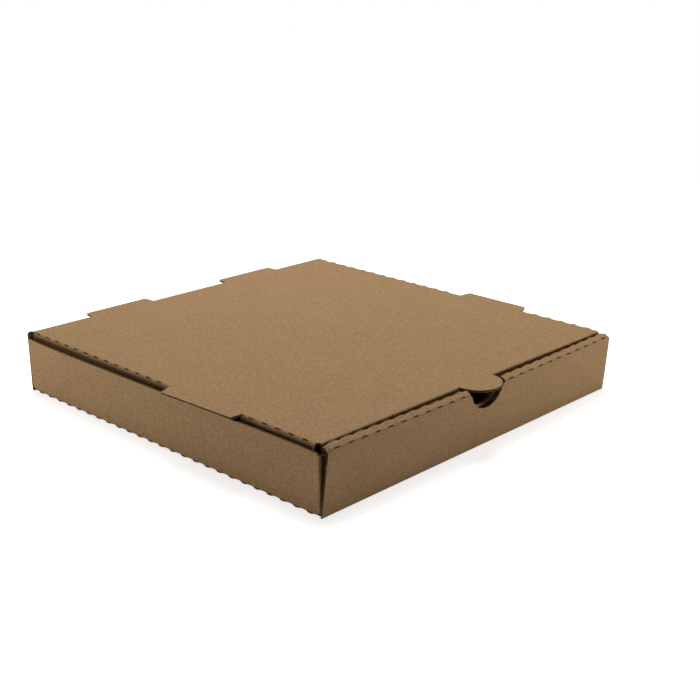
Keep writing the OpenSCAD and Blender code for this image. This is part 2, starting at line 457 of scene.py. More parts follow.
def paper_material(name, roughness, specular, paper):
    material = bpy.data.materials.new(name)
    material.use_nodes = True
    shader = material.node_tree.nodes["Principled BSDF"]
    shader.inputs["Roughness"].default_value = roughness
    shader.inputs["Specular IOR Level"].default_value = specular
    fibre = node(material.node_tree, "ShaderNodeGroup", -700, 100, node_tree=kraft_fibre)
    for label, value in paper.items():
        fibre.inputs[label].default_value = value
    return material, shader, fibre


def add_relief(tree, shader, height, strength):
    relief = node(tree, "ShaderNodeBump", -200, -300, {"Strength": strength, "Distance": RELIEF})
    tree.links.new(height, relief.inputs["Height"])
    tree.links.new(relief.outputs["Normal"], shader.inputs["Normal"])


def kraft_liner_material():
    material, shader, fibre = paper_material("kraft_liner", 0.86, 0.04, {
        "Paper": (0.381, 0.235, 0.1165, 1),
        "Dark fibre": (0.205, 0.1175, 0.052, 1),
        "Pale fibre": (0.533, 0.362, 0.207, 1),
        "Fibre amount": 0.5,
        "Cloud amount": 0.1,
    })
    tree = material.node_tree
    # Painted shade: the crease attribute mixes the paper towards a near-black brown where folds and flaps
    # go down into gaps, and slightly along every fold.
    crease = node(tree, "ShaderNodeAttribute", -900, -500, attribute_name="crease")
    darkening_and_shade_part = maths(tree, "MULTIPLY", -500, -500, crease.outputs["Fac"], CREASE_TONE)
    darkening_and_shade_part.node.use_clamp = True
    darkened_and_shaded = colour_mix(tree, -300, 150, darkening_and_shade_part, fibre.outputs["Colour"], DARKENING_AND_SHADE)
    tree.links.new(darkened_and_shaded, shader.inputs["Base Color"])
    flute = node(tree, "ShaderNodeAttribute", -1100, -300, attribute_name="flute")
    turns = maths(tree, "MULTIPLY", -900, -300, flute.outputs["Fac"], 2 * math.pi / FLUTE_PITCH)
    wave = maths(tree, "SINE", -700, -300, turns)
    ripple = maths(tree, "MULTIPLY_ADD", -500, -300, wave, WASHBOARD, fibre.outputs["Height"])
    add_relief(tree, shader, ripple, 0.35)
    return material


# The fluting is painted dark brown, for the shade inside the hollow flutes; it lines the recessed core of
# every cut edge and makes the waved paper.
def fluting_material():
    material, shader, fibre = paper_material("fluting_painted_shade", 0.92, 0.2, {
        "Paper": (0.14, 0.082, 0.038, 1),
        "Dark fibre": (0.09, 0.052, 0.024, 1),
        "Pale fibre": (0.28, 0.18, 0.095, 1),
        "Fibre amount": 0.4,
        "Cloud amount": 0.25,
    })
    material.node_tree.links.new(fibre.outputs["Colour"], shader.inputs["Base Color"])
    add_relief(material.node_tree, shader, fibre.outputs["Height"], 0.4)
    return material


kraft_liner = kraft_liner_material()
fluting_painted_shade = fluting_material()

# Tray
# The lower half of the folded blank: base, side walls with corner flaps, back wall, and the front wall
# that rolls over itself and locks into two slots in the base. Nothing is glued.

INSIDE_W = 305.0
INSIDE_D = 301.0
BOX_H = 45.7
SIDE_LEAN = 2.0
FRONT_LEAN = 2.0
FRONT_TAPER = 2.5
CORNER_L = 45.0
CORNER_TAPER = 4.0
CORNER_LIFT = 0.6
CORNER_DROP = 1.0
CORNER_GAP = 0.1
SIDE_DROP = 2.7
ROLL_DROP = 3.7
ROLL_ANGLE = 62.0
ROLL_STRIP = 2.6
INNER_GAP = 1.5
LOCK_W = 45.0
LOCK_AT = 78.0
LOCK_CLEAR = 0.4
LOCK_END = 0.2
LOCK_R = 1.0
TUCK_GAP = 0.3
NOTCH_DEPTH = 13.6
NOTCH_R = 17.6
NOTCH_SHIFT = 2.0
NOTCH_SHIFT_AT = 2.0
NOTCH_SPREAD = 22.0
SHOULDER_R = 2.4
SHOULDER_STEP = 10
REAR_TAB_AT = 68.0
REAR_TAB_L = 58.0
REAR_TAB_OUT = 9.0
TAB_R = 2.0
TAB_STEP = 15
TAB_CLEAR = 0.4
HINGE_STRIP = 0.3
END_ROUND = 3.0
EAR_ROUND = 1.6
EAR_LIFT = 1.2
EAR_SINK = 0.7
EAR_DROP = 0.6
BACK_SPREAD = 1.0
SHARP_FOLD = 0.8
ROLL_SLIT = (0.8, 0.3)
INNER_SLIT = (1.6, 0.12)
INNER_SINK = 0.6
SOFT_DARKENING = 0.3
# Painted shade on the corner flaps' folds (strength, where it starts): nearly black at the front, where the
# fold shows in the gap beside the front wall's end; lighter at the back.
FRONT_FLAP_SHADE = (5.5, 0.15)
BACK_FLAP_SHADE = (3.0, 0.2)
FLAP_SHADE_END = 9.0
FLAP_SHADE_FADE = 3.0
WALL_RISE = 40.0
FRONT_REACH = 152.0
SIDE_REACH = 150.0
SIDE_FROM = 138.0
FRONT_BOW = 2.6
FRONT_TURN = 0.8
FRONT_SHIFT = 1.6
END_SHIFT = 2.8
END_POWER = 14
ROLL_CURL = 2.4
END_CURL = 4.5
CURL_FROM = 38.0
CURL_H = 8.0
SIDE_BOW = 1.4
SIDE_TILT = 1.1
JOIN_NEAR = 0.05
HINGE_REACH = 3.0

outer_w = INSIDE_W + 2 * BOARD
outer_d = INSIDE_D + 2 * BOARD
base_w = outer_w - 2 * BEND_R
base_d = outer_d - 2 * BEND_R
side_half = outer_d / 2 - BOARD - CORNER_GAP - BEND_R
side_h = BOX_H - BOARD - SIDE_DROP
side_lean = math.radians(SIDE_LEAN)
side_l = (side_h - BEND_R + FOLD_R * math.sin(side_lean)) / math.cos(side_lean)
lean_cos = math.cos(math.radians(FRONT_LEAN))
lean_sin = math.sin(math.radians(FRONT_LEAN))
front_l = (BOX_H - ROLL_DROP - BEND_R) / lean_cos
corner_h = min(side_l, front_l) - CORNER_LIFT - CORNER_DROP
front_half = outer_w / 2
roll_half = front_half - FRONT_TAPER
inner_half = INSIDE_W / 2 - INNER_GAP
inner_far = BEND_R + ROLL_STRIP * math.sin(math.radians(ROLL_ANGLE))
roll_top = front_l + ROLL_STRIP * math.cos(math.radians(ROLL_ANGLE))


def run_at(height, inwards):
    return (height - BEND_R - inwards * lean_sin) / lean_cos


def depth_at(height, inwards):
    return inwards * lean_cos - run_at(height, inwards) * lean_sin - base_d / 2


inner_l = roll_top - run_at(BOARD + TUCK_GAP, inner_far - BOARD)
lock_l = (BOARD + TUCK_GAP - LOCK_END) / lean_cos
lock_y = depth_at(BOARD / 2, inner_far - BOARD / 2)
notch_up = NOTCH_R - NOTCH_DEPTH
notch_half = math.sqrt((NOTCH_R + SHOULDER_R) ** 2 - (notch_up + SHOULDER_R) ** 2)
shoulder_turn = math.degrees(math.atan2(notch_up + SHOULDER_R, -notch_half))


def still(point):
    return point


def swell(x, middle, spread):
    return max(0.0, 1 - ((x - middle) / spread) ** 2) ** 2


def settle_front(point):
    rise = max(0.0, point.z - BEND_R) / WALL_RISE
    across = point.x / FRONT_REACH
    left = max(0.0, -across)
    right = max(0.0, across)
    past = min(1.0, max(0.0, abs(point.x) - roll_half + END_CURL) / END_CURL)
    curl = ROLL_CURL * (1 - math.sqrt(1 - past ** 2))
    shift = Vector((0, 0, 0))
    shift.x = rise * (FRONT_SHIFT * left + END_SHIFT * right ** END_POWER)
    shift.x += rise * NOTCH_SHIFT * swell(point.x, NOTCH_SHIFT_AT, NOTCH_SPREAD)
    shift.y = -rise * (FRONT_BOW * max(0.0, 1 - across ** 2) + FRONT_TURN * across)
    shift.z = -curl * max(0.0, point.z - CURL_FROM) / CURL_H
    return point + shift


def settle_side(point):
    rise = max(0.0, point.z - BEND_R) / WALL_RISE
    along = point.y / SIDE_REACH
    shift = Vector((0, 0, 0))
    if abs(point.x) > SIDE_FROM:
        bow = SIDE_BOW * max(0.0, 1 - along ** 2) + BACK_SPREAD * max(0.0, along) ** 2
        shift.x = math.copysign(bow * rise, point.x)
        shift.z = -SIDE_TILT * rise * along * max(0.0, 1 - along ** 4) ** 0.5
    return point + shift


def settle_back(point):
    rise = max(0.0, point.z - BEND_R) / WALL_RISE
    past = min(1.0, max(0.0, abs(point.x) - hinge_half + END_ROUND) / END_ROUND)
    raised = max(0.0, point.z - BEND_R - hinge_from)
    lift = EAR_LIFT if point.x < 0 else -EAR_SINK
    corner = min(1.0, max(0.0, abs(point.x) - hinge_half + EAR_ROUND) / EAR_ROUND)
    lowered = EAR_DROP * raised * (1 - math.sqrt(1 - corner ** 2)) - lift * past * raised / BEND_R
    return point + Vector((math.copysign(BACK_SPREAD * rise * past, point.x), 0, -lowered))


def notch_path(crease, way):
    right = arc((notch_half, -SHOULDER_R), SHOULDER_R, 90, shoulder_turn, SHOULDER_STEP)
    bowl = arc((0, notch_up), NOTCH_R, shoulder_turn - 180, -shoulder_turn)
    left = [(-u, v) for u, v in reversed(right)]
    path = right + bowl[1:-1] + left
    return [(u, crease + way * v) for u, v in path]


def tongue_path(middle, root, length, reach, way, radius=TAB_R):
    half = length / 2
    path = [(-half, 0)]
    path += arc((-half + radius, reach - radius), radius, 180, 90, TAB_STEP)
    path += arc((half - radius, reach - radius), radius, 90, 0, TAB_STEP)
    path += [(half, 0)]
    return [(middle + u, root + way * v) for u, v in path]


def mirrored(loop):
    return [(-u, v) for u, v in reversed(loop)]


MIRROR = Matrix.Scale(-1, 4, Vector((1, 0, 0)))
tray_sheet = new_sheet()
side_ends = (-side_half, side_half)
side_cuts = slits(-side_half, side_half)
side_stations = stations(-side_half, side_half, side_cuts)
front_spans = [(-front_half, -base_w / 2), (-base_w / 2, base_w / 2), (base_w / 2, front_half)]
front_stations = sorted(set(u for span in front_spans for u in stations(span[0], span[1])))
base_front = [u for u in front_stations if abs(u) < base_w / 2 + TOUCH]

base_loop = [(u, -base_d / 2) for u in base_front]
base_loop += [(base_w / 2, v) for v in side_stations]
base_loop += [(u, base_d / 2) for u in reversed(base_front)]
base_loop += [(-base_w / 2, v) for v in reversed(side_stations)]
base_loops = [base_loop]
for side in (-1, 1):
    slot_u = LOCK_W / 2 + LOCK_CLEAR
    slot_v = BOARD / 2 + LOCK_CLEAR
    at = side * LOCK_AT
    corners = [(-slot_u, -slot_v), (slot_u, -slot_v), (slot_u, slot_v), (-slot_u, slot_v)]
    base_loops.append([(at + u, lock_y + v) for u, v in corners])
base_supports = [(u, side * (base_d / 2 - SUPPORT)) for u in base_front for side in (-1, 1)]
base_supports += [(side * (base_w / 2 - SUPPORT), v) for v in side_stations for side in (-1, 1)]


def across_base(u, v):
    return u


add_panel(tray_sheet, Matrix.Identity(4), base_loops, across_base, still, base_supports)

for mirror in (Matrix.Identity(4), MIRROR):
    wall_root = mirror @ Matrix.Translation((base_w / 2, 0, 0)) @ Matrix.Rotation(math.radians(-90), 4, "Z")

    def wall_flute(u, v):
        return base_w / 2 + fold_length(90 - SIDE_LEAN) + v

    def wall_fold_flute(u, v):
        return base_w / 2 + v

    side_turn = 90 - SIDE_LEAN
    add_fold(tray_sheet, wall_root, side_turn, side_ends, wall_fold_flute, settle_side, side_cuts,
             WALL_SLIT)
    wall = wall_root @ past_fold(side_turn)
    corner_stations = [CORNER_LIFT + corner_h / 2 + v for v in stations(-corner_h / 2, corner_h / 2)]
    wall_loop = [(u, 0) for u in side_stations]
    wall_loop += [(side_half, v) for v in corner_stations]
    wall_loop += [(side_half, side_l), (-side_half, side_l)]
    wall_loop += [(-side_half, v) for v in reversed(corner_stations)]
    wall_supports = [(u, SUPPORT) for u in side_stations]
    wall_supports += [(side * (side_half - SUPPORT), v) for v in corner_stations for side in (-1, 1)]
    add_panel(tray_sheet, wall, [wall_loop], wall_flute, settle_side, wall_supports)
    for end in (Matrix.Identity(4), MIRROR):
        at_front = (wall @ end @ Vector((side_half, 0, 0))).y < 0
        shade, shade_from = FRONT_FLAP_SHADE if at_front else BACK_FLAP_SHADE
        flap_root = wall @ end @ Matrix.Translation((side_half, CORNER_LIFT + corner_h / 2, 0))
        flap_root = flap_root @ Matrix.Rotation(math.radians(-90), 4, "Z")

        def flap_flute(u, v):
            return base_w / 2 + fold_length(90 - SIDE_LEAN) + CORNER_LIFT + corner_h / 2 - u

        flap_ends = (-corner_h / 2, corner_h / 2)
        flap_stations = stations(flap_ends[0], flap_ends[1])
        add_fold(tray_sheet, flap_root, 90, flap_ends, flap_flute, settle_side, darkening=SOFT_DARKENING, shade=shade,
                 shade_from=shade_from, sharp=SHARP_FOLD)
        flap = flap_root @ past_fold(90)
        flap_loop = [(u, 0) for u in flap_stations]
        flap_loop += [(corner_h / 2 - CORNER_TAPER, CORNER_L), (CORNER_TAPER - corner_h / 2, CORNER_L)]
        flap_rows = (SUPPORT, FLAP_SHADE_END - FLAP_SHADE_FADE, FLAP_SHADE_END)
        flap_supports = [(u, v) for u in flap_stations[1:-1] for v in flap_rows]

        # Painted shade on a front corner flap's face, full for the first 6 mm below the fold and gone by 9
        # mm; none at the back.
        def flap_painted_shade(u, v):
            faded = min(1.0, max(0.0, FLAP_SHADE_END - v) / FLAP_SHADE_FADE)
            return shade * faded if at_front else 0.0

        add_panel(tray_sheet, flap, [flap_loop], flap_flute, settle_side, flap_supports, flap_painted_shade)

back_root = Matrix.Translation((0, base_d / 2, 0))
for span in front_spans:
    add_fold(tray_sheet, back_root, 90, span, across_base, still, sharp=SHARP_FOLD)
back = back_root @ past_fold(90)
back_top = BOX_H - 2 * BEND_R
hinge_from = back_top - HINGE_STRIP
window_l = REAR_TAB_L + 2 * TAB_CLEAR
window_root = BOX_H - BOARD / 2 - BEND_R
window_reach = REAR_TAB_OUT + TAB_CLEAR
hinge_half = outer_w / 2
hinge_spans = [
    (-hinge_half, -REAR_TAB_AT - window_l / 2),
    (window_l / 2 - REAR_TAB_AT, REAR_TAB_AT - window_l / 2),
    (REAR_TAB_AT + window_l / 2, hinge_half),
]
back_loop = [(u, 0) for u in front_stations]
for low, high in reversed(hinge_spans):
    back_loop += [(u, hinge_from) for u in reversed(stations(low, high))]
    if low > -hinge_half:
        middle = low - window_l / 2
        window = tongue_path(middle, window_root, window_l, window_reach, -1)[1:-1]
        back_loop += list(reversed(window))
back_supports = [(u, SUPPORT) for u in front_stations[1:-1]]
add_panel(tray_sheet, back, [back_loop], across_base, settle_back, back_supports)

front_root = Matrix.Translation((0, -base_d / 2, 0)) @ Matrix.Rotation(math.pi, 4, "Z")
front_turn = 90 - FRONT_LEAN
for span in front_spans:
    add_fold(tray_sheet, front_root, front_turn, span, across_base, settle_front, sharp=SHARP_FOLD)
front = front_root @ past_fold(front_turn)
crease_cuts = slits(notch_half, roll_half)
crease_right = stations(notch_half, roll_half, crease_cuts)
front_loop = [(u, 0) for u in front_stations]
front_loop += [(u, front_l) for u in reversed(crease_right)]
front_loop += notch_path(front_l, 1)[1:-1]
front_loop += [(-u, front_l) for u in crease_right]
front_supports = [(u, SUPPORT) for u in front_stations[1:-1]]
front_supports += [(side * u, front_l - SUPPORT) for u in crease_right for side in (-1, 1)]
add_panel(tray_sheet, front, [front_loop], across_base, settle_front, front_supports)

roll_root = front @ Matrix.Translation((0, front_l, 0))
strip = roll_root @ past_fold(ROLL_ANGLE)
inner_cuts = slits(notch_half, inner_half)
inner_right = stations(notch_half, inner_half, inner_cuts)
strip_loop = [(u, 0) for u in crease_right] + [(u, ROLL_STRIP) for u in reversed(inner_right)]
inner_root = strip @ Matrix.Translation((0, ROLL_STRIP, 0))
inner_turn = 180 - ROLL_ANGLE
for mirror in (Matrix.Identity(4), MIRROR):
    outer_ends = (notch_half, roll_half)
    outer_crease = roll_root @ mirror
    add_fold(tray_sheet, outer_crease, ROLL_ANGLE, outer_ends, across_base, settle_front, crease_cuts,
             ROLL_SLIT, darkening=SOFT_DARKENING, sink=0.0)
    add_panel(tray_sheet, strip @ mirror, [strip_loop], across_base, settle_front)
    inner_ends = (notch_half, inner_half)
    inner_crease = inner_root @ mirror
    add_fold(tray_sheet, inner_crease, inner_turn, inner_ends, across_base, settle_front, inner_cuts,
             INNER_SLIT, sink=INNER_SINK)
inner_wall = inner_root @ past_fold(inner_turn)
inner_loop = [(-u, 0) for u in reversed(inner_right)]
inner_loop += list(reversed(notch_path(0, -1)))[1:-1]
inner_loop += [(u, 0) for u in inner_right]
inner_loop += [(inner_half, inner_l)]
for middle in (LOCK_AT, -LOCK_AT):
    inner_loop += list(reversed(tongue_path(middle, inner_l, LOCK_W, lock_l, 1, LOCK_R)))
inner_loop += [(-inner_half, inner_l)]
inner_supports = [(side * u, SUPPORT) for u in inner_right for side in (-1, 1)]
add_panel(tray_sheet, inner_wall, [inner_loop], across_base, settle_front, inner_supports)


def at_tray_hinge(point):
    on_line = abs(point.z - BEND_R - hinge_from) < JOIN_NEAR
    return on_line and point.y > outer_d / 2 - HINGE_REACH and abs(point.x) < hinge_half


board_materials = [kraft_liner, fluting_painted_shade]
tray_board = build_board("tray_board", tray_sheet, board_materials, at_tray_hinge)
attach(tray_board, "tray")
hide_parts("tray")

# Lid
# The upper half of the same blank, with front and side flaps that tuck down inside the tray's walls. A
# thumb tab and two side tabs are cut out of its flaps, and two rear tabs out of the back wall.

LID_SIDE_GAP = 0.3
LID_FRONT_GAP = 0.8
SIDE_FLAP_LIFT = 8.0
FRONT_FLAP_LIFT = 13.0
FRONT_TUCK = 4.0
FLAP_TAPER = 8.0
LID_CORNER_GAP = 1.0
REAR_CORNER_GAP = 0.6
THUMB_R = 17.6
THUMB_REACH = 17.8
THUMB_SHIFT = 0.9
THUMB_SPREAD = 60.0
THUMB_POWER = 4
SIDE_TAB_L = 70.0
SIDE_TAB_OUT = 9.0
SIDE_TAB_SLANT = 1.2
SIDE_TAB_AT = 195.5
RIGHT_TAB_SHORT = 4.0
REAR_CUTS_SHORT = 5.0
TAB_DROOP = 1.7
TAB_IN = 1.2
FLAP_IN = 0.07
FLAP_NEAR = 1.0
HINGE_NEAR = 0.01
LID_SKEW = 0.8
LID_SLIT = (0.7, 0.24)
LEFT_SLIT_AT = 0.25
RIGHT_SLIT_AT = 0.5
# Painted shade on the lid's folds: the front fold darkens towards the gap above the roll-over, and the side
# folds and flaps darken down into the gap above the side walls.
FRONT_SHADE = 4.0
FRONT_SHADE_FROM = 0.5
FRONT_SHARP = 0.6
SIDE_SHADE = 4.9
CREST_SHADE = 3.0
SIDE_SHADE_FROM = 0.45
SHADE_FULL = 1.4
SHADE_FADE = 2.6
SHADE_END = 4.5

hinge_y = outer_d / 2 - BOARD / 2
lid_flat = INSIDE_W / 2 - LID_SIDE_GAP - BEND_R
lid_front_y = depth_at(BOX_H - BEND_R, inner_far) + LID_FRONT_GAP
lid_d = hinge_y - lid_front_y - BEND_R
flap_to = lid_d - LID_CORNER_GAP
side_flap_l = BOX_H - BEND_R - BOARD - SIDE_FLAP_LIFT
front_angle = 90 + FRONT_TUCK
front_flap_l = (BOX_H - BEND_R - BOARD - FRONT_FLAP_LIFT) / math.cos(math.radians(FRONT_TUCK))
front_flap_half = lid_flat - LID_CORNER_GAP
thumb_neck = BEND_R + THUMB_REACH - THUMB_R
tab_from = SIDE_TAB_AT - SIDE_TAB_L / 2
tab_to = SIDE_TAB_AT + SIDE_TAB_L / 2
tab_reach = BEND_R + SIDE_TAB_OUT
lid_back = hinge_y - (base_d / 2 - HINGE_STRIP)
flap_from = lid_back + REAR_CORNER_GAP


def settle_lid(point):
    out = hinge_y - point.y
    if out < lid_back + HINGE_NEAR:
        return settle_back(point)
    skew = LID_SKEW * max(0.0, point.x / lid_flat) * out / lid_d
    shift = Vector((skew, -skew, 0))
    forward_part = min(1.0, max(0.0, out / lid_d)) ** THUMB_POWER
    shift.x -= THUMB_SHIFT * swell(point.x, 0, THUMB_SPREAD) * forward_part
    below = BOX_H - BEND_R - point.z
    if below > 0 and abs(point.x) > lid_flat - FLAP_NEAR:
        shift.x -= math.copysign(FLAP_IN * below, point.x)
    elif below < 0 and tab_from < out < tab_to:
        reach = max(0.0, -point.x - lid_flat) / tab_reach
        rear_part = (tab_to - out) / SIDE_TAB_L
        shift.x += TAB_IN * reach
        shift.z -= TAB_DROOP * rear_part * reach ** 2
    return point + shift


lid_sheet = new_sheet()
lid_place = Matrix.Translation((0, hinge_y, BOX_H)) @ Matrix.Rotation(math.pi, 4, "X")
rear_cuts = slits(flap_from, tab_from - REAR_CUTS_SHORT)
near_cuts = slits(tab_to, flap_to)
front_line = stations(THUMB_R, front_flap_half)


def rear_line(short):
    return stations(flap_from, tab_from + short, rear_cuts)


def near_line(short):
    return stations(tab_to - short, flap_to, near_cuts)


def lid_edge(short):
    path = [(lid_flat, v) for v in rear_line(short)]
    path += [(lid_flat + tab_reach, tab_from + SIDE_TAB_SLANT + short)]
    path += [(lid_flat + tab_reach, tab_to - SIDE_TAB_SLANT - 2 * short)]
    path += [(lid_flat, v) for v in near_line(short)]
    path += [(lid_flat, lid_d)]
    return path + [(u, lid_d) for u in reversed(front_line)]


lid_front = arc((0, lid_d + thumb_neck), THUMB_R, 0, 180)
lid_loop = lid_edge(RIGHT_TAB_SHORT) + lid_front + mirrored(lid_edge(0.0))
lid_spans = [(max(low, -lid_flat), min(high, lid_flat)) for low, high in hinge_spans]
for low, high in lid_spans:
    lid_loop += [(u, lid_back) for u in stations(low, high)]
    if high < lid_flat:
        lid_loop += tongue_path(high + window_l / 2, 0, REAR_TAB_L, REAR_TAB_OUT, -1)[1:-1]
tab_line = rear_line(0.0) + near_line(0.0)
lid_supports = [(side * (lid_flat - SUPPORT), v) for v in tab_line for side in (-1, 1)]
lid_supports += [(side * u, lid_d - SUPPORT) for u in front_line for side in (-1, 1)]
add_panel(lid_sheet, lid_place, [lid_loop], across_base, settle_lid, lid_supports)

front_flap_root = lid_place @ Matrix.Translation((0, lid_d, 0))
for mirror in (Matrix.Identity(4), MIRROR):
    front_ends = (THUMB_R, front_flap_half)
    add_fold(lid_sheet, front_flap_root @ mirror, front_angle, front_ends, across_base, settle_lid,
             shade=FRONT_SHADE, shade_from=FRONT_SHADE_FROM, sharp=FRONT_SHARP)
front_flap = front_flap_root @ past_fold(front_angle)
thumb_sunk = thumb_neck - fold_length(front_angle)
front_flap_right = [(u, 0) for u in front_line]
front_flap_loop = front_flap_right + [(front_flap_half - FLAP_TAPER, front_flap_l)]
front_flap_loop += [(FLAP_TAPER - front_flap_half, front_flap_l)] + mirrored(front_flap_right)
front_flap_loop += arc((0, thumb_sunk), THUMB_R, 180, 0)
flap_supports = [(side * u, SUPPORT) for u in front_line for side in (-1, 1)]
add_panel(lid_sheet, front_flap, [front_flap_loop], across_base, settle_lid, flap_supports)

window_v = tab_reach - fold_length(90)
lid_sides = [
    (Matrix.Identity(4), 0.0, LID_SLIT, LEFT_SLIT_AT),
    (MIRROR, RIGHT_TAB_SHORT, WALL_SLIT, RIGHT_SLIT_AT),
]
for mirror, short, slit, slit_at in lid_sides:
    flap_root = lid_place @ mirror @ Matrix.Translation((-lid_flat, 0, 0))
    flap_root = flap_root @ Matrix.Rotation(math.radians(90), 4, "Z")

    def side_flap_flute(u, v):
        return lid_flat + fold_length(90) + v

    def side_fold_flute(u, v):
        return lid_flat + v

    # Painted shade on a side flap's face: from the crest value to full strength in 1.4 mm, held there, and
    # gone by 4.5 mm below the fold.
    def side_flap_painted_shade(u, v):
        deep = CREST_SHADE + (SIDE_SHADE - CREST_SHADE) * min(1.0, v / SHADE_FULL)
        return deep * min(1.0, max(0.0, SHADE_END - v) / (SHADE_END - SHADE_FADE))

    for ends, cuts in (((flap_from, tab_from + short), rear_cuts), ((tab_to - short, flap_to), near_cuts)):
        add_fold(lid_sheet, flap_root, 90, ends, side_fold_flute, settle_lid, cuts, slit, shade=CREST_SHADE,
                 shade_from=SIDE_SHADE_FROM, slit_at=slit_at)
    side_flap = flap_root @ past_fold(90)
    rear_sunk = SIDE_TAB_SLANT * fold_length(90) / tab_reach
    near_sunk = (SIDE_TAB_SLANT + short) * fold_length(90) / tab_reach
    side_loop = [(u, 0) for u in rear_line(short)]
    side_loop += [(tab_from + short + rear_sunk, 0), (tab_from + short + SIDE_TAB_SLANT, window_v)]
    side_loop += [(tab_to - SIDE_TAB_SLANT - 2 * short, window_v), (tab_to - short - near_sunk, 0)]
    side_loop += [(u, 0) for u in near_line(short)]
    side_loop += [(flap_to - FLAP_TAPER, side_flap_l), (flap_from + FLAP_TAPER, side_flap_l)]
    flap_line = rear_line(short)[2:] + near_line(short)[:-2]
    side_supports = [(u, v) for u in flap_line for v in (SHADE_FULL, SHADE_FADE, SHADE_END)]
    add_panel(lid_sheet, side_flap, [side_loop], side_flap_flute, settle_lid, side_supports, side_flap_painted_shade)


def at_lid_hinge(point):
    on_line = abs(point.y - (hinge_y - lid_back)) < JOIN_NEAR
    return on_line and point.z > BOX_H - BEND_R and abs(point.x) < hinge_half


lid_board = build_board("lid_board", lid_sheet, board_materials, at_lid_hinge)
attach(lid_board, "lid")
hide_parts("lid")

# Hinge fold
# The scored line along the top of the back wall, where the same board bends over into the lid. It is cut
# into three lengths by the rear tabs.

EAR_PARTS = 4

hinge_sheet = new_sheet()
hinge_root = back @ Matrix.Translation((0, back_top, 0))
hinge_lid = hinge_root @ past_fold(90)
ear_step = (hinge_half - lid_flat) / EAR_PARTS
ear_right = [(lid_flat + ear_step * i, lid_flat + ear_step * (i + 1)) for i in range(EAR_PARTS)]
ear_spans = ear_right + [(-high, -low) for low, high in ear_right]
for low, high in lid_spans + ear_spans:
    add_fold(hinge_sheet, hinge_root, 90, (low, high), across_base, settle_back)
    line = stations(low, high)
    below = [(u, -HINGE_STRIP) for u in line] + [(u, 0) for u in reversed(line)]
    above = [(u, 0) for u in line] + [(u, HINGE_STRIP) for u in reversed(line)]
    add_panel(hinge_sheet, hinge_root, [below], across_base, settle_back)
    add_panel(hinge_sheet, hinge_lid, [above], across_base, settle_back)
hinge_sheet["kinds"] = ["fold"] * len(hinge_sheet["faces"])


def at_hinge_ends(point):
    on_wall = abs(point.z - BEND_R - hinge_from) < JOIN_NEAR
    on_lid = abs(point.y - (base_d / 2 - HINGE_STRIP)) < JOIN_NEAR and abs(point.x) < lid_flat
    return on_wall or on_lid


hinge_fold = build_board("hinge_fold", hinge_sheet, board_materials, at_hinge_ends)
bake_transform(hinge_fold)

# Flutes in the cut edges
# The waved paper between the liners, seen wherever a knife has cut the board: as waves where the cut
# crosses the flutes, and as one slanting web where it runs along them. It is glued to both liners.

FLUTE_PAPER = 0.2
FLUTE_DEPTH = 1.6
FLUTE_BACK = 0.12
FLUTE_STEPS = 8
FLUTE_MERGE = 0.000002


def flute_strips(sheet, joined):
    mesh_data = bmesh.new()
    phase = mesh_data.verts.layers.float.new("phase")
    lift = mesh_data.verts.layers.float_vector.new("lift")
    for number, a, b in cut_edges(sheet):
        start = middle_of(sheet, a)
        end = middle_of(sheet, b)
        if sheet["kinds"][number] != "panel" or joined((start + end) / 2):
            continue
        inward = inward_of(sheet, number, a, b)
        face = sheet["faces"][number]
        third = [i for i in face if i not in (a, b)][0]
        run = end - start
        side = middle_of(sheet, third) - start
        along = side.dot(run) / run.length_squared
        depth = side.dot(inward)
        flute_a = sheet["flute"][a]
        flute_b = sheet["flute"][b]
        slope = (sheet["flute"][third] - flute_a - along * (flute_b - flute_a)) / depth
        slope = max(-1.0, min(1.0, slope))
        step = FLUTE_PITCH / FLUTE_STEPS
        columns = max(1, math.ceil(abs(flute_b - flute_a) / step))
        rows = max(1, math.ceil(abs(slope) * FLUTE_DEPTH / step))
        through = (sheet["inner"][a] - sheet["outer"][a]).normalized()
        grid = []
        for j in range(rows + 1):
            sunk = FLUTE_BACK + (FLUTE_DEPTH - FLUTE_BACK) * j / rows
            line = []
            for i in range(columns + 1):
                part = i / columns
                made = mesh_data.verts.new((start + run * part + inward * sunk) * MM)
                made[phase] = flute_a + (flute_b - flute_a) * part + slope * sunk
                made[lift] = through
                line.append(made)
            grid.append(line)
        for j in range(rows):
            for i in range(columns):
                mesh_data.faces.new((grid[j][i], grid[j][i + 1], grid[j + 1][i + 1], grid[j + 1][i]))
    mesh = bpy.data.meshes.new("flute_strips")
    mesh_data.to_mesh(mesh)
    mesh_data.free()
    return mesh


